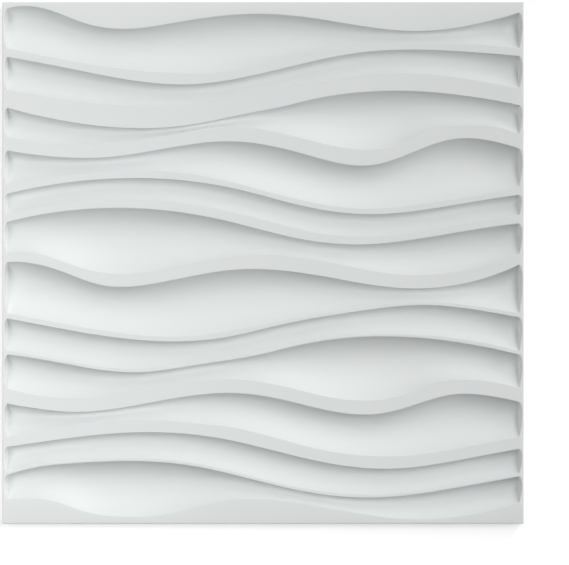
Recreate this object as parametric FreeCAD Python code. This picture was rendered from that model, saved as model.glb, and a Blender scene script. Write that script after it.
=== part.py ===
import FreeCAD, Part
import math
import os
from FreeCAD import Vector

# Square wall tile with twelve scooped wave valleys, moulded from one thin sheet.
# It lies on its back: X runs along the waves, Y up the wall, Z out of the face.
# All sizes are in millimetres and angles in degrees.

TILE = 500.0          # side of the square tile
HEIGHT = 18.0         # back edge to the flat bands of the face
SHEET = 1.0           # thickness of the moulded sheet
BACK_GAP = 1.5        # deepest valley back above the back edge
END_INSET = 5.0       # end of the valley floors inside the left and right edge
END_DRAFT = 13.5      # lean of the valley end walls
GROWTH_WIDTH = 14.0   # valley width over which the depth builds up

STATIONS = 21         # sections along a valley
STRIPS = 6            # ruled strips across a valley
PROFILE_STEPS = 80    # fine steps used to offset a section
CROWDING = 1.3        # how much closer the strips lie on the steep side
LID_RISE = 0.3        # rise of a cutter above the face that it opens
OVERSHOOT = 2.0       # how far a section or the inner space is drawn on past what it cuts

# Depth across a valley: fraction of the width below the upper line,
# fraction of the full depth. The steep side is under the upper line.
SCOOP = ((0.0, 0.0), (0.06, 0.48), (0.13, 0.76), (0.22, 0.93), (0.34, 1.0), (0.5, 0.93),
         (0.66, 0.74), (0.82, 0.45), (1.0, 0.0))

# The upper and lower line of each valley, from the top of the tile down:
# turning points and the bends between them, from the left end to the right end.
WAVES = (
    (((-245, 243.5), (-227, 246), (-197, 239.5), (-177, 231.5), (-132, 224), (-81, 230.5),
      (-5, 238.5), (60, 232.5), (148, 222), (245, 239.5)),
     ((-245, 205.5), (-90, 182), (-35, 183.5), (40, 200), (120, 209.5), (245, 205.5))),
    (((-245, 197), (-200, 189), (-70, 171), (90, 201), (245, 198)),
     ((-245, 166), (-100, 149.5), (55, 173), (130, 182), (245, 167.5))),
    (((-245, 148.5), (-185, 135), (-75, 131.5), (-5, 145), (50, 157), (190, 160.5), (245, 151)),
     ((-245, 121), (-179, 114), (-88, 122.5), (-30, 130.5), (49, 116.5), (97, 108.5),
      (133, 115), (155, 125), (198, 132), (245, 123.5))),
    (((-245, 107.5), (-150, 101), (-90, 110), (-25, 116), (45, 102.5), (105, 93.5),
      (180, 118), (245, 109.5)),
     ((-245, 76), (-188, 84), (-118, 88.5), (-59, 83.5), (40, 59.5), (98, 52), (179, 60.5),
      (245, 73.5))),
    (((-245, 66), (-220, 71.5), (-132, 81), (-25, 70.5), (40, 54), (105, 46.5), (160, 51.5),
      (245, 65)),
     ((-245, 47), (-170, 59), (-70, 56.5), (-5, 43), (65, 27), (130, 27.5), (210, 40.5),
      (245, 45.5))),
    (((-245, 39), (-210, 46.5), (-133, 52.5), (-35, 40), (40, 22), (92, 17.5), (160, 24.5),
      (245, 37.5)),
     ((-245, 10), (-225, 10.5), (-170, -6), (-134, -10.5), (-75, -1.5), (-15, 7.5), (50, 3.5),
      (135, -11.5), (190, -7.5), (245, 8.5))),
    (((-245, 0.5), (-230, 0.5), (-155, -21.5), (-110, -21), (-30, -7), (60, -13.5),
      (135, -24.5), (205, -17), (245, -2)),
     ((-245, -48), (-155, -64.5), (-80, -70.5), (10, -57), (100, -41.5), (155, -37),
      (210, -42.5), (245, -48))),
    (((-245, -53.5), (-200, -62), (-85, -75.5), (15, -60), (95, -46), (155, -40.5),
      (245, -52.5)),
     ((-245, -84.5), (-185, -95), (-122, -101.5), (-25, -88.5), (50, -73), (115, -68),
      (175, -71), (245, -84.5))),
    (((-245, -88), (-200, -95), (-122, -105), (-60, -97.5), (20, -82.5), (80, -72),
      (150, -72), (245, -88)),
     ((-245, -120.5), (-225, -125.5), (-178, -129.5), (-105, -120), (-39, -111.5),
      (19, -118), (60, -128), (97, -132), (139, -125), (185, -112), (245, -119.5))),
    (((-245, -135), (-183, -143), (-110, -134.5), (-34, -125), (10, -129.5), (75, -144),
      (120, -143.5), (185, -126), (245, -133.5)),
     ((-245, -166.5), (-189, -156.5), (-121, -150.5), (-37, -156.5), (45, -176.5),
      (119, -185.5), (207, -174), (245, -166.5))),
    (((-245, -176.5), (-207, -171), (-119, -162.5), (-40, -168.5), (43, -188), (120, -197.5),
      (197, -187.5), (245, -178.5)),
     ((-245, -200.5), (-180, -189.5), (-128, -187), (-50, -195), (8, -209.5), (60, -219.5),
      (107, -222), (175, -215), (245, -202))),
    (((-245, -203.5), (-185, -192.5), (-128, -190), (-63, -195.5), (-3, -209.5), (50, -221),
      (107, -225), (175, -217.5), (245, -205)),
     ((-245, -226.5), (-204, -227.5), (-168, -239), (-135, -243), (-96, -241), (-66, -234),
      (-31, -227), (-2, -226), (60, -234), (145, -245.5), (200, -241), (245, -230))),
)

HALF = TILE / 2
FLOOR_END = HALF - END_INSET
SCALE = FLOOR_END / WAVES[0][0][-1][0]
FULL_DEPTH = HEIGHT - SHEET - BACK_GAP
DRAFT = math.radians(END_DRAFT)


def curve_through(points, scale):
    """Smooth curve whose parameter is its first coordinate."""
    curve = Part.BSplineCurve()
    curve.interpolate(
        Points=[Vector(x * scale, y * scale, 0) for x, y in points],
        Parameters=[x * scale for x, y in points],
    )
    return curve


def section(upper, lower, x, offset, top):
    """Points across a valley at one place, from its upper to its lower side."""
    at = max(upper.FirstParameter, min(upper.LastParameter, x))
    y_upper = upper.value(at).y
    y_lower = lower.value(at).y
    width = y_upper - y_lower
    depth = FULL_DEPTH * (1 - math.exp(-width / GROWTH_WIDTH))
    outline = []
    for step in range(PROFILE_STEPS + 1):
        across = step / PROFILE_STEPS
        fall = depth * scoop.value(across).y
        outline.append((y_upper - across * width, HEIGHT - fall))
    outline = extend(outline, OVERSHOOT + offset)
    if offset:
        outline = offset_outline(outline, offset)
    return resample(clip(outline, top))


def extend(outline, length):
    """Draw both ends of an outline on in a straight line."""
    grown = list(outline)
    for end, inner in ((0, 1), (-1, -2)):
        dy = outline[end][0] - outline[inner][0]
        dz = outline[end][1] - outline[inner][1]
        reach = length / math.hypot(dy, dz)
        point = (outline[end][0] + dy * reach, outline[end][1] + dz * reach)
        if end == 0:
            grown.insert(0, point)
        else:
            grown.append(point)
    return grown


def offset_outline(outline, distance):
    """Move an outline square to itself, away from the open side of the valley."""
    moved = []
    last = len(outline) - 1
    for index, (y, z) in enumerate(outline):
        before = outline[max(0, index - 1)]
        after = outline[min(last, index + 1)]
        dy = after[0] - before[0]
        dz = after[1] - before[1]
        size = math.hypot(dy, dz)
        moved.append((y - dz / size * distance, z + dy / size * distance))
    return moved


def clip(outline, top):
    """Keep the part of an outline below a level and end it on the level."""
    low = min(range(len(outline)), key=lambda index: outline[index][1])
    first = low
    while first > 0 and outline[first - 1][1] < top:
        first -= 1
    final = low
    while final < len(outline) - 1 and outline[final + 1][1] < top:
        final += 1
    kept = list(outline[first:final + 1])
    for end, outside in ((0, first - 1), (-1, final + 1)):
        y_in, z_in = kept[end]
        y_out, z_out = outline[outside]
        share = (top - z_in) / (z_out - z_in)
        point = (y_in + (y_out - y_in) * share, top)
        if end == 0:
            kept.insert(0, point)
        else:
            kept.append(point)
    return kept


def resample(outline):
    """Divide an outline into strips, narrowest on its steep side."""
    travel = [0.0]
    for (y0, z0), (y1, z1) in zip(outline, outline[1:]):
        travel.append(travel[-1] + math.hypot(y1 - y0, z1 - z0))
    points = []
    index = 0
    for number in range(STRIPS + 1):
        wanted = travel[-1] * (number / STRIPS) ** CROWDING
        while index < len(travel) - 2 and travel[index + 1] < wanted:
            index += 1
        part = (wanted - travel[index]) / (travel[index + 1] - travel[index])
        y0, z0 = outline[index]
        y1, z1 = outline[index + 1]
        points.append((y0 + (y1 - y0) * part, z0 + (z1 - z0) * part))
    return points


def valley(upper, lower, offset, top, reach):
    """Solids that fill a valley up to a level: its length and its two drafted ends."""
    places = [reach * (2 * station / (STATIONS - 1) - 1) for station in range(STATIONS)]
    outlines = [section(upper, lower, x, offset, top) for x in places]
    edges = []
    for number in range(STRIPS + 1):
        rail = Part.BSplineCurve()
        rail.interpolate(
            Points=[Vector(x, *outline[number]) for x, outline in zip(places, outlines)],
            Parameters=places,
        )
        edges.append(rail.toShape())
    faces = [Part.makeRuledSurface(one, two) for one, two in zip(edges, edges[1:])]
    faces.append(Part.makeRuledSurface(edges[-1], edges[0]))
    caps = []
    for x, outline in ((places[0], outlines[0]), (places[-1], outlines[-1])):
        corners = [Vector(x, y, z) for y, z in outline]
        caps.append(Part.Face(Part.makePolygon(corners + corners[:1])))
    shell = Part.makeShell(faces + caps)
    shell.sewShape()
    length = Part.makeSolid(shell)
    if length.Volume < 0:
        length.reverse()
    rise = 2 * HEIGHT
    lean = rise * math.tan(DRAFT)
    left = caps[0].extrude(Vector(-lean, 0, rise))
    right = caps[1].extrude(Vector(lean, 0, rise))
    return [length, left, right]


scoop = curve_through(SCOOP, 1.0)
lines = [(curve_through(upper, SCALE), curve_through(lower, SCALE)) for upper, lower in WAVES]

# Space behind the sheet: the inside of the tray less the backs of the valleys
inner_half = HALF - SHEET
inner_top = HEIGHT - SHEET
end_shift = SHEET * (1 - math.sin(DRAFT)) / math.cos(DRAFT)
inner_reach = FLOOR_END + end_shift
corner = Vector(-inner_half, -inner_half, -OVERSHOOT)
space = Part.makeBox(2 * inner_half, 2 * inner_half, inner_top + OVERSHOOT, corner)
for upper, lower in lines:
    for solid in valley(upper, lower, SHEET, inner_top + LID_RISE, inner_reach):
        space = space.cut(solid)

# The tile: a block less its valleys and the space behind them
tile = Part.makeBox(TILE, TILE, HEIGHT, Vector(-HALF, -HALF, 0))
for upper, lower in lines:
    for solid in valley(upper, lower, 0, HEIGHT + LID_RISE, FLOOR_END):
        tile = tile.cut(solid)
tile = tile.cut(space)

os.makedirs("parts", exist_ok=True)
tile.exportStep("parts/wave_panel.step")
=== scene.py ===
import math

import bpy
import numpy as np
from bpy.props import FloatProperty, FloatVectorProperty, IntProperty, PointerProperty
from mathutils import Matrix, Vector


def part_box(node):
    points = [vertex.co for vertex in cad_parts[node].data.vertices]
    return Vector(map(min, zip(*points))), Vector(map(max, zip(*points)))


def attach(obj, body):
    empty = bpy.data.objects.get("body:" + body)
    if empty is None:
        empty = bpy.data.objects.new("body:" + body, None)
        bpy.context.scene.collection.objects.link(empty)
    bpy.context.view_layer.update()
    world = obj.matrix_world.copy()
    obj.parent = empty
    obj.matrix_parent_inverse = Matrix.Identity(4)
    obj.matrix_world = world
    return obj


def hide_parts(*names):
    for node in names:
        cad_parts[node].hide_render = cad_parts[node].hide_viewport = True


bl_info = {
    "name": "Wave wall tile",
    "version": (1, 0, 0),
    "blender": (4, 5, 0),
    "location": "View3D > Sidebar > Wave tile",
    "description": "Builds a moulded wave wall tile, with its lights, floor and camera",
    "category": "Object",
}

MM = 0.001

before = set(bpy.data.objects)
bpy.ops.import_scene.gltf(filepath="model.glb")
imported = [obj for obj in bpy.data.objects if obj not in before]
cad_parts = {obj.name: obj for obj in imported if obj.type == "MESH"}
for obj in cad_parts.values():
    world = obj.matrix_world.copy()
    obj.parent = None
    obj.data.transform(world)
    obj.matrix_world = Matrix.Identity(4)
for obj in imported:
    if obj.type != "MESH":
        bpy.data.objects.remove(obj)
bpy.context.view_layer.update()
tile_low, tile_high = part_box("wave_panel")

# Depth across a valley: fraction of the width below the upper line,
# fraction of the full depth. The steep side is under the upper line.
SCOOP = ((0.0, 0.0), (0.06, 0.48), (0.13, 0.76), (0.22, 0.93), (0.34, 1.0), (0.5, 0.93),
         (0.66, 0.74), (0.82, 0.45), (1.0, 0.0))

# The upper and lower line of each valley in millimetres, from the top of the tile down:
# turning points and the bends between them, from the left end to the right end.
WAVES = (
    (((-245, 243.5), (-227, 246), (-197, 239.5), (-177, 231.5), (-132, 224), (-81, 230.5),
      (-5, 238.5), (60, 232.5), (148, 222), (222, 233), (245, 239.5)),
     ((-245, 205.5), (-90, 182), (-35, 183.5), (40, 200), (120, 209.5), (245, 205.5))),
    (((-245, 197), (-200, 189), (-70, 171), (90, 201), (205, 201.5), (245, 198)),
     ((-245, 166), (-150, 152), (-100, 149.5), (55, 173), (130, 182), (226, 171),
      (245, 167.5))),
    (((-245, 148.5), (-185, 135), (-75, 131.5), (-5, 145), (11, 148), (50, 157), (190, 160.5),
      (245, 151)),
     ((-245, 121), (-179, 114), (-88, 122.5), (-30, 130.5), (49, 116.5), (97, 108.5),
      (133, 115), (155, 125), (198, 132), (226, 130), (245, 123.5))),
    (((-245, 107.5), (-191, 101), (-150, 101), (-90, 110), (-25, 116), (45, 102.5), (105, 93.5),
      (180, 118), (232, 113.5), (245, 109.5)),
     ((-245, 76), (-226, 79.5), (-188, 84), (-118, 88.5), (-59, 83.5), (40, 59.5), (98, 52),
      (179, 60.5), (208, 65), (245, 73.5))),
    (((-245, 66), (-220, 71.5), (-132, 81), (-25, 70.5), (40, 54), (105, 46.5), (160, 51.5),
      (245, 65)),
     ((-245, 47), (-170, 59), (-70, 56.5), (-5, 43), (65, 27), (130, 27.5), (210, 40.5),
      (245, 45.5))),
    (((-245, 39), (-210, 46.5), (-133, 52.5), (-35, 40), (40, 22), (92, 17.5), (160, 24.5),
      (245, 37.5)),
     ((-245, 10), (-225, 10.5), (-170, -6), (-134, -10.5), (-75, -1.5), (-15, 7.5), (50, 3.5),
      (135, -11.5), (190, -7.5), (245, 8.5))),
    (((-245, 0.5), (-230, 0.5), (-197, -7), (-155, -21.5), (-110, -21), (-30, -7), (60, -13.5),
      (135, -24.5), (205, -17), (245, -2)),
     ((-245, -48), (-155, -64.5), (-80, -70.5), (10, -57), (100, -41.5), (155, -37),
      (210, -42.5), (245, -48))),
    (((-245, -53.5), (-200, -62), (-85, -75.5), (-33, -71), (15, -60), (95, -46), (155, -40.5),
      (193, -43.5), (245, -52.5)),
     ((-245, -84.5), (-203, -91.5), (-185, -95), (-122, -101.5), (-25, -88.5), (-5, -85),
      (50, -73), (115, -68), (175, -71), (245, -84.5))),
    (((-245, -88), (-200, -95), (-122, -105), (-60, -97.5), (6, -86), (20, -82.5), (80, -72),
      (150, -72), (245, -88)),
     ((-245, -120.5), (-225, -125.5), (-178, -129.5), (-105, -120), (-39, -111.5), (19, -118),
      (60, -128), (97, -132), (139, -125), (166, -114.5), (185, -112), (199, -112),
      (245, -119.5))),
    (((-245, -135), (-203, -141.5), (-183, -143), (-110, -134.5), (-34, -125), (10, -129.5),
      (75, -144), (120, -143.5), (185, -126), (215, -127.5), (245, -133.5)),
     ((-245, -166.5), (-189, -156.5), (-121, -150.5), (-51, -155), (-37, -156.5), (45, -176.5),
      (119, -185.5), (207, -174), (245, -166.5))),
    (((-245, -176.5), (-207, -171), (-119, -162.5), (-40, -168.5), (43, -188), (120, -197.5),
      (197, -187.5), (245, -178.5)),
     ((-245, -200.5), (-217, -193), (-180, -189.5), (-128, -187), (-50, -195), (8, -209.5),
      (60, -219.5), (107, -222), (175, -215), (245, -202))),
    (((-245, -203.5), (-217, -196), (-185, -192.5), (-128, -190), (-63, -195.5), (-3, -209.5),
      (50, -221), (107, -225), (175, -217.5), (245, -205)),
     ((-245, -226.5), (-223, -226), (-204, -227.5), (-168, -239), (-135, -243), (-96, -241),
      (-66, -234), (-31, -227), (-2, -226), (60, -234), (145, -245.5), (200, -241),
      (245, -230))),
)


class TileSettings(bpy.types.PropertyGroup):
    side: FloatProperty(
        name="Side", description="Side of the square tile", unit="LENGTH",
        default=tile_high.x - tile_low.x,
    )
    height: FloatProperty(
        name="Height", description="Back edge to the flat bands of the face", unit="LENGTH",
        default=tile_high.z - tile_low.z,
    )
    sheet: FloatProperty(
        name="Sheet", description="Thickness of the moulded sheet", unit="LENGTH",
        default=1.0 * MM,
    )
    back_gap: FloatProperty(
        name="Back gap", description="Deepest valley back above the back edge", unit="LENGTH",
        default=1.5 * MM,
    )
    end_inset: FloatProperty(
        name="End inset", description="End of the valley floors inside the side edges",
        unit="LENGTH", default=5.0 * MM,
    )
    end_draft: FloatProperty(
        name="End draft", description="Lean of the valley end walls", subtype="ANGLE",
        default=math.radians(13.5),
    )
    growth_width: FloatProperty(
        name="Growth width", description="Valley width over which the depth builds up",
        unit="LENGTH", default=14.0 * MM,
    )
    crease: FloatProperty(
        name="Crease", description="Radius that softens every crease of the face",
        unit="LENGTH", default=0.2 * MM,
    )
    edge_round: FloatProperty(
        name="Edge round", description="Rounding of the face's outer edge", unit="LENGTH",
        default=0.8 * MM,
    )
    stations: IntProperty(
        name="Stations", description="Mesh columns along the waves", default=116,
    )
    colour: FloatVectorProperty(
        name="Colour", description="Colour of the moulded plastic", subtype="COLOR", size=3,
        default=(0.785, 0.81, 0.805), min=0.0, max=1.0,
    )
    roughness: FloatProperty(
        name="Roughness", description="Roughness of the moulded face", default=0.42,
        min=0.0, max=1.0,
    )


class StageSettings(bpy.types.PropertyGroup):
    floor_colour: FloatVectorProperty(
        name="Floor colour", description="Colour of the floor", subtype="COLOR", size=3,
        default=(0.85, 0.85, 0.85), min=0.0, max=1.0,
    )
    floor_lift: FloatProperty(
        name="Floor lift", description="Light that the camera and gloss alone see on the floor",
        default=0.4, min=0.0,
    )
    floor_size: FloatProperty(
        name="Floor size", description="Side of the floor", unit="LENGTH", default=12.0,
    )
    camera_height: FloatProperty(
        name="Camera height", description="Camera above the back of the tile", unit="LENGTH",
        default=4.0,
    )
    light_level: FloatProperty(
        name="Light level", description="Factor on the power of every light", default=1.0,
        min=0.0,
    )
    light_spread: FloatProperty(
        name="Light spread", description="Width of each far light as the tile sees it",
        subtype="ANGLE", default=math.radians(25),
    )
    world_level: FloatProperty(
        name="World level", description="Strength of the light from all round", default=0.02,
        min=0.0,
    )


# Points at each end of a smooth curve whose common cubic gives the slope of that end
END_POINTS = 4

# Rings of points round a place that soften a crease or offset the sheet:
# radius in shares of the full one, and number of points
CREASE_RINGS = ((0.0, 1), (0.5, 6), (1.0, 12))
SHEET_RINGS = ((0.0, 1), (0.35, 8), (0.65, 12), (0.88, 16), (1.0, 16))


def spline(points):
    """Smooth curve through points: a function of their first coordinate."""
    xs, ys = np.array(points, float).T
    gaps = np.diff(xs)
    rises = np.diff(ys) / gaps
    count = len(xs)
    matrix = np.eye(count)
    right = np.zeros(count)
    reach = min(END_POINTS, count)
    right[0] = np.polyfit(xs[:reach] - xs[0], ys[:reach], reach - 1)[-2]
    right[-1] = np.polyfit(xs[-reach:] - xs[-1], ys[-reach:], reach - 1)[-2]
    for k in range(1, count - 1):
        matrix[k, k - 1:k + 2] = gaps[k], 2 * (gaps[k - 1] + gaps[k]), gaps[k - 1]
        right[k] = 3 * (gaps[k] * rises[k - 1] + gaps[k - 1] * rises[k])
    slopes = np.linalg.solve(matrix, right)

    def value(x):
        x = np.clip(x, xs[0], xs[-1])
        k = np.clip(np.searchsorted(xs, x) - 1, 0, count - 2)
        h = gaps[k]
        t = (x - xs[k]) / h
        start = (1 + 2 * t) * (1 - t) ** 2 * ys[k] + t * (1 - t) ** 2 * h * slopes[k]
        stop = t * t * (3 - 2 * t) * ys[k + 1] + t * t * (t - 1) * h * slopes[k + 1]
        return start + stop

    return value


class Relief:
    """Shape of the tile's face and back, in metres."""

    def __init__(self, tile):
        self.half = tile.side / 2
        self.height = tile.height
        self.sheet = tile.sheet
        self.end = self.half - tile.end_inset
        self.full_depth = tile.height - tile.sheet - tile.back_gap
        self.lean = math.tan(tile.end_draft)
        self.growth = tile.growth_width
        self.crease = tile.crease
        self.edge_round = tile.edge_round
        self.scoop = spline(SCOOP)
        scale = self.end / WAVES[0][0][-1][0]
        self.lines = []
        for upper, lower in WAVES:
            self.lines.append((spline(np.array(upper) * scale), spline(np.array(lower) * scale)))

    def depth(self, x, y):
        """Depth of the sharp relief below the flat bands."""
        along = np.clip(x, -self.end, self.end)
        fall = np.zeros(np.shape(x))
        for upper, lower in self.lines:
            top = upper(along)
            width = top - lower(along)
            across = (top - y) / width
            full = self.full_depth * (1 - np.exp(-width / self.growth))
            inside = (across > 0) & (across < 1)
            fall = np.where(inside, full * self.scoop(np.clip(across, 0, 1)), fall)
        past = np.maximum(np.abs(x) - self.end, 0) / self.lean
        return np.maximum(fall - past, 0)

    def face(self, x, y):
        """Height of the face, with its creases and outer edge rounded."""
        fall = np.zeros(np.shape(x))
        total = 0
        for share, count in CREASE_RINGS:
            for k in range(count):
                angle = 2 * math.pi * (k + share) / count
                dx = share * self.crease * math.cos(angle)
                dy = share * self.crease * math.sin(angle)
                fall += self.depth(x + dx, y + dy)
                total += 1
        inside = self.half - np.maximum(np.abs(x), np.abs(y))
        short = np.clip(self.edge_round - inside, 0, self.edge_round)
        roll = self.edge_round - np.sqrt(np.maximum(self.edge_round ** 2 - short ** 2, 0))
        return self.height - fall / total - roll

    def back(self, x, y):
        """Height of the back of the sheet: one sheet below the face on every side."""
        low = np.full(np.shape(x), self.height - self.sheet)
        for share, count in SHEET_RINGS:
            rise = self.sheet * math.sqrt(1 - share ** 2)
            for k in range(count):
                angle = 2 * math.pi * k / count
                dx = share * self.sheet * math.cos(angle)
                dy = share * self.sheet * math.sin(angle)
                low = np.minimum(low, self.height - self.depth(x + dx, y + dy) - rise)
        return low

    def rows(self, x, border, edge_steps, shifts, near, inner):
        """Places of the mesh rows down the tile at each x, following the wave lines."""
        rows = [np.full(np.shape(x), border - step) for step in edge_steps]
        upper_shift, lower_shift = shifts
        for upper, lower in self.lines:
            top = upper(x) + upper_shift
            bottom = lower(x) + lower_shift
            rows += [top + step for step in reversed(near) if step > 0]
            rows += [top - step for step in near]
            start = top - near[-1]
            stop = bottom + near[-1]
            for k in range(1, inner + 1):
                rows.append(start + (stop - start) * k / (inner + 1))
            rows += [bottom + step for step in reversed(near)]
            rows += [bottom - step for step in near if step > 0]
        rows += [np.full(np.shape(x), -border + step) for step in reversed(edge_steps)]
        return np.array(rows)


def empty_selection():
    """Leave nothing selected, so that an operator acts on new work only."""
    if bpy.context.object and bpy.context.object.mode != "OBJECT":
        bpy.ops.object.mode_set(mode="OBJECT")
    bpy.ops.object.select_all(action="DESELECT")


def relief_grid(name, xs, ys, zs):
    """A primitive grid whose rows and columns are drawn out to the given places."""
    row_count, column_count = xs.shape
    empty_selection()
    bpy.ops.mesh.primitive_grid_add(
        x_subdivisions=column_count - 1, y_subdivisions=row_count - 1, size=2,
    )
    sheet = bpy.context.object
    sheet.name = name
    count = len(sheet.data.vertices)
    if count != row_count * column_count:
        raise RuntimeError("the grid has other rows and columns than the relief")
    places = np.zeros(count * 3)
    sheet.data.vertices.foreach_get("co", places)
    places = places.reshape(-1, 3)
    column = np.rint((places[:, 0] + 1) / 2 * (column_count - 1)).astype(int)
    row = np.rint((1 - places[:, 1]) / 2 * (row_count - 1)).astype(int)
    drawn = np.stack([grid[row, column] for grid in (xs, ys, zs)], axis=1)
    sheet.data.vertices.foreach_set("co", drawn.ravel())
    sheet.data.update()
    return sheet


def drop_rim(sheet):
    """Extrude the open edge of a sheet straight down to the back plane."""
    bpy.ops.object.mode_set(mode="EDIT")
    bpy.ops.mesh.select_mode(type="EDGE")
    bpy.ops.mesh.select_all(action="DESELECT")
    bpy.ops.mesh.select_non_manifold()
    bpy.ops.mesh.extrude_edges_move()
    bpy.ops.transform.resize(value=(1, 1, 0), center_override=(0, 0, 0))
    bpy.ops.object.mode_set(mode="OBJECT")


class TILE_OT_panel(bpy.types.Operator):
    """Build the moulded tile over its plain solid"""

    bl_idname = "wave_tile.panel"
    bl_label = "Moulded tile"

    def execute(self, context):
        tile = context.scene.wave_tile
        relief = Relief(tile)
        face = build_face(relief, tile.stations)
        back = build_back(relief, tile.stations)
        panel = close_shell(face, back)
        panel.data.materials.append(moulded_plastic(tile))
        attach(panel, "root")
        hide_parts("wave_panel")
        return {"FINISHED"}


# Mesh rows of the face: their distances from a wave line and their number between two lines
FACE_NEAR = (0, 0.2 * MM, 0.9 * MM)
FACE_INNER = 10

# Steps over the rounded outer edge in shares of its radius, and over an end wall in shares
# of its reach. Where a row meets no end wall, its steps have a least reach.
EDGE_SHARES = (0, 0.06, 0.25, 0.6, 1)
WALL_SHARES = (0.12, 0.5, 0.88, 1.0)
LEAST_REACH = 1.2 * MM

# Mesh rows of the back, as for the face, with their shift off the upper and lower lines
# in sheets, and its columns past the end walls
BACK_NEAR = (0, 0.6 * MM)
BACK_INNER = 8
BACK_SHIFTS = (0.85, -0.15)
BACK_COLUMNS = (1.2 * MM, 2.2 * MM)

# Angle between two faces past which the edge stays sharp
SHARP_ANGLE = math.radians(50)


def build_face(relief, stations):
    """The front of the tile with its outer side walls."""
    edge_steps = [relief.edge_round * share for share in EDGE_SHARES]
    flat_end = relief.end - relief.crease
    inner = np.linspace(-flat_end, flat_end, stations)
    layout = (relief.half, edge_steps, (0, 0), FACE_NEAR, FACE_INNER)
    inner_rows = relief.rows(inner, *layout)
    xs = [np.full(len(inner_rows), x) for x in inner]
    ys = list(inner_rows.T)
    for side in (-1, 1):
        y = relief.rows(np.array([side * relief.end]), *layout)[:, 0]
        reach = relief.depth(np.full(len(y), side * relief.end), y) * relief.lean
        reach = np.maximum(reach, LEAST_REACH)
        block = [np.full(len(y), relief.end)]
        block += [relief.end + reach * share for share in WALL_SHARES]
        block.append(relief.end + reach + relief.crease)
        block += [np.full(len(y), relief.half - step) for step in reversed(edge_steps)]
        if side < 0:
            xs = [-x for x in reversed(block)] + xs
            ys = [y] * len(block) + ys
        else:
            xs = xs + block
            ys = ys + [y] * len(block)
    xs = np.stack(xs, axis=1)
    ys = np.stack(ys, axis=1)
    face = relief_grid("wave_panel_face", xs, ys, relief.face(xs, ys))
    drop_rim(face)
    return face


def build_back(relief, stations):
    """The back of the sheet with the inner faces of the side walls."""
    border = relief.half - relief.sheet
    end = relief.end + relief.sheet
    inner = np.linspace(-end, end, stations)
    shifts = [shift * relief.sheet for shift in BACK_SHIFTS]
    inner_rows = relief.rows(inner, border, [0], shifts, BACK_NEAR, BACK_INNER)
    count = len(inner_rows)
    steps = [*BACK_COLUMNS, border - end]
    xs = np.stack([np.full(count, -end - step) for step in reversed(steps)]
                  + [np.full(count, v) for v in inner]
                  + [np.full(count, end + step) for step in steps], axis=1)
    ys = np.stack([inner_rows[:, 0]] * len(steps) + list(inner_rows.T)
                  + [inner_rows[:, -1]] * len(steps), axis=1)
    back = relief_grid("wave_panel_back", xs, ys, relief.back(xs, ys))
    drop_rim(back)
    return back


def close_shell(face, back):
    """Join face and back along the bottom of the side walls into one closed shell."""
    empty_selection()
    back.select_set(True)
    face.select_set(True)
    bpy.context.view_layer.objects.active = face
    bpy.ops.object.join()
    panel = bpy.context.object
    panel.name = "moulded_tile"
    panel.data.name = "moulded_tile"
    bpy.ops.object.mode_set(mode="EDIT")
    bpy.ops.mesh.select_mode(type="EDGE")
    bpy.ops.mesh.select_all(action="DESELECT")
    bpy.ops.mesh.select_non_manifold()
    bpy.ops.mesh.fill(use_beauty=False)
    bpy.ops.mesh.select_all(action="SELECT")
    bpy.ops.mesh.normals_make_consistent(inside=False)
    bpy.ops.mesh.select_all(action="DESELECT")
    bpy.ops.object.mode_set(mode="OBJECT")
    bpy.ops.object.shade_smooth_by_angle(angle=SHARP_ANGLE)
    return panel


# Darkest and palest mottling in shares of the colour, and how far the roughness varies
MOTTLE_SHARES = (0.985, 1.01)
GLOSS_SWING = 0.03


def moulded_plastic(tile):
    """Satin white plastic with a faint grain, slight mottling and uneven gloss."""
    material = bpy.data.materials.new("moulded plastic")
    material.use_nodes = True
    nodes = material.node_tree.nodes
    links = material.node_tree.links
    shader = nodes["Principled BSDF"]
    shader.inputs["IOR"].default_value = 1.5
    place = nodes.new("ShaderNodeTexCoord")

    mottle = nodes.new("ShaderNodeTexNoise")
    mottle.inputs["Scale"].default_value = 14.0
    mottle.inputs["Detail"].default_value = 3.0
    links.new(place.outputs["Object"], mottle.inputs["Vector"])
    tint = nodes.new("ShaderNodeMix")
    tint.data_type = "RGBA"
    for socket, share in zip("AB", MOTTLE_SHARES):
        tint.inputs[socket].default_value = (*(part * share for part in tile.colour), 1)
    links.new(mottle.outputs["Fac"], tint.inputs["Factor"])
    links.new(tint.outputs["Result"], shader.inputs["Base Color"])

    gloss = nodes.new("ShaderNodeTexNoise")
    gloss.inputs["Scale"].default_value = 35.0
    gloss.inputs["Detail"].default_value = 4.0
    links.new(place.outputs["Object"], gloss.inputs["Vector"])
    spread = nodes.new("ShaderNodeMapRange")
    spread.inputs["To Min"].default_value = tile.roughness - GLOSS_SWING
    spread.inputs["To Max"].default_value = tile.roughness + GLOSS_SWING
    links.new(gloss.outputs["Fac"], spread.inputs["Value"])
    links.new(spread.outputs["Result"], shader.inputs["Roughness"])

    grain = nodes.new("ShaderNodeTexNoise")
    grain.inputs["Scale"].default_value = 900.0
    grain.inputs["Detail"].default_value = 2.0
    links.new(place.outputs["Object"], grain.inputs["Vector"])
    bump = nodes.new("ShaderNodeBump")
    bump.inputs["Strength"].default_value = 0.15
    bump.inputs["Distance"].default_value = 0.0001
    links.new(grain.outputs["Fac"], bump.inputs["Height"])
    links.new(bump.outputs["Normal"], shader.inputs["Normal"])
    return material


class TILE_OT_stage(bpy.types.Operator):
    """Set up the floor, the lights, the world and the camera"""

    bl_idname = "wave_tile.stage"
    bl_label = "Stage"

    def execute(self, context):
        stage = context.scene.wave_stage
        build_floor(stage)
        build_lights(stage)
        build_world(context.scene, stage)
        build_camera(context.scene, stage)
        context.scene.view_settings.view_transform = "Standard"
        return {"FINISHED"}


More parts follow.
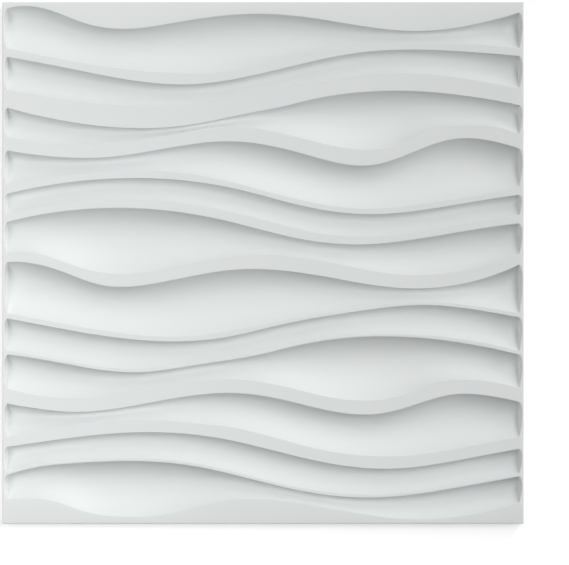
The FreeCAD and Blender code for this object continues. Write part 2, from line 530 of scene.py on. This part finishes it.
def build_floor(stage):
    empty_selection()
    bpy.ops.mesh.primitive_plane_add(size=stage.floor_size, location=(0, 0, 0))
    floor = bpy.context.object
    floor.name = "floor"
    floor.data.materials.append(floor_finish(stage))


def floor_finish(stage):
    """Pale floor that the camera and gloss see nearly white, with the tile's shadow kept."""
    material = bpy.data.materials.new("pale floor")
    material.use_nodes = True
    nodes = material.node_tree.nodes
    links = material.node_tree.links
    shader = nodes["Principled BSDF"]
    shader.inputs["Base Color"].default_value = (*stage.floor_colour, 1)
    shader.inputs["Roughness"].default_value = 0.9
    path = nodes.new("ShaderNodeLightPath")
    lift = nodes.new("ShaderNodeMath")
    lift.operation = "MULTIPLY"
    lift.inputs[1].default_value = stage.floor_lift
    seen = path.outputs["Is Camera Ray"]
    for ray in ("Is Glossy Ray", "Is Transmission Ray"):
        either = nodes.new("ShaderNodeMath")
        either.operation = "MAXIMUM"
        links.new(seen, either.inputs[0])
        links.new(path.outputs[ray], either.inputs[1])
        seen = either.outputs["Value"]
    links.new(seen, lift.inputs[0])
    glow = nodes.new("ShaderNodeEmission")
    links.new(lift.outputs["Value"], glow.inputs["Strength"])
    both = nodes.new("ShaderNodeAddShader")
    links.new(shader.outputs["BSDF"], both.inputs[0])
    links.new(glow.outputs["Emission"], both.inputs[1])
    links.new(both.outputs["Shader"], nodes["Material Output"].inputs["Surface"])
    return material


# Broad far lights and how far off they stand: name, height over the floor and bearing
# from +X in degrees, and strength
FAR_DISTANCE = 3.0
FAR_LIGHTS = (
    ("high_light", 60, 30, 0.96),
    ("upper_light", 40, 60, 0.57),
    ("low_light", 20, 60, 0.7),
    ("right_light", 20, 0, 0.85),
    ("left_light", 20, 150, 0.24),
)

# Near lamps: name, place, point aimed at, side of the square lamp and power in watts
LAMPS = (
    ("left_lamp", (-0.95, -0.2, 1.3), (-0.3, -0.1, 0.0), 0.6, 9.8),
)


def build_lights(stage):
    for name, rise, bearing, strength in FAR_LIGHTS:
        rise, bearing = math.radians(rise), math.radians(bearing)
        flat = FAR_DISTANCE * math.cos(rise)
        up = FAR_DISTANCE * math.sin(rise)
        place = (flat * math.cos(bearing), flat * math.sin(bearing), up)
        sun = add_light("SUN", name, place, (0, 0, 0))
        sun.angle = stage.light_spread
        sun.energy = strength * stage.light_level
    for name, place, target, size, power in LAMPS:
        lamp = add_light("AREA", name, place, target)
        lamp.shape = "SQUARE"
        lamp.size = size
        lamp.energy = power * stage.light_level


def add_light(kind, name, place, target):
    empty_selection()
    bpy.ops.object.light_add(type=kind, location=place)
    light = bpy.context.object
    light.name = name
    aim(light, target)
    return light.data


def aim(thing, target):
    """Turn a lamp or camera so that it looks at a point."""
    place = thing.location
    away = [place[k] - target[k] for k in range(3)]
    flat = math.hypot(away[0], away[1])
    thing.rotation_euler = (math.atan2(flat, away[2]), 0, math.atan2(away[0], -away[1]))


def build_world(scene, stage):
    world = bpy.data.worlds.new("studio")
    world.use_nodes = True
    scene.world = world
    sky = world.node_tree.nodes["Background"]
    sky.inputs["Color"].default_value = (1.0, 1.0, 1.0, 1)
    sky.inputs["Strength"].default_value = stage.world_level


# The photograph's size, and the tile's side and middle in it, in pixels
IMAGE_WIDTH = 569
IMAGE_HEIGHT = 565
TILE_PIXELS = 521.7
TILE_MIDDLE = (263.05, 262.8)

# Farthest distance that the camera draws
CAMERA_REACH = 50.0


def build_camera(scene, stage):
    """Camera straight above, framed so that the tile lies where the photograph has it."""
    empty_selection()
    pixel = scene.wave_tile.side / TILE_PIXELS
    shift_x = (IMAGE_WIDTH / 2 - TILE_MIDDLE[0]) * pixel
    shift_y = (TILE_MIDDLE[1] - IMAGE_HEIGHT / 2) * pixel
    bpy.ops.object.camera_add(location=(shift_x, shift_y, stage.camera_height))
    camera = bpy.context.object
    camera.name = "camera"
    camera.rotation_euler = (0, 0, 0)
    camera.data.sensor_fit = "HORIZONTAL"
    distance = stage.camera_height - scene.wave_tile.height
    camera.data.lens = camera.data.sensor_width * distance / (IMAGE_WIDTH * pixel)
    camera.data.clip_end = CAMERA_REACH
    scene.camera = camera


class TILE_PT_sidebar(bpy.types.Panel):
    bl_idname = "TILE_PT_sidebar"
    bl_label = "Wave tile"
    bl_space_type = "VIEW_3D"
    bl_region_type = "UI"
    bl_category = "Wave tile"

    def draw(self, context):
        layout = self.layout
        for group in (context.scene.wave_tile, context.scene.wave_stage):
            column = layout.column()
            for name in group.__annotations__:
                column.prop(group, name)
        for operator in (TILE_OT_panel, TILE_OT_stage):
            layout.operator(operator.bl_idname)


CLASSES = (TileSettings, StageSettings, TILE_OT_panel, TILE_OT_stage, TILE_PT_sidebar)


def register():
    for item in CLASSES:
        bpy.utils.register_class(item)
    bpy.types.Scene.wave_tile = PointerProperty(type=TileSettings)
    bpy.types.Scene.wave_stage = PointerProperty(type=StageSettings)


def unregister():
    del bpy.types.Scene.wave_stage
    del bpy.types.Scene.wave_tile
    for item in reversed(CLASSES):
        bpy.utils.unregister_class(item)


def main():
    register()
    bpy.ops.wave_tile.panel()
    bpy.ops.wave_tile.stage()


if __name__ == "__main__":
    main()
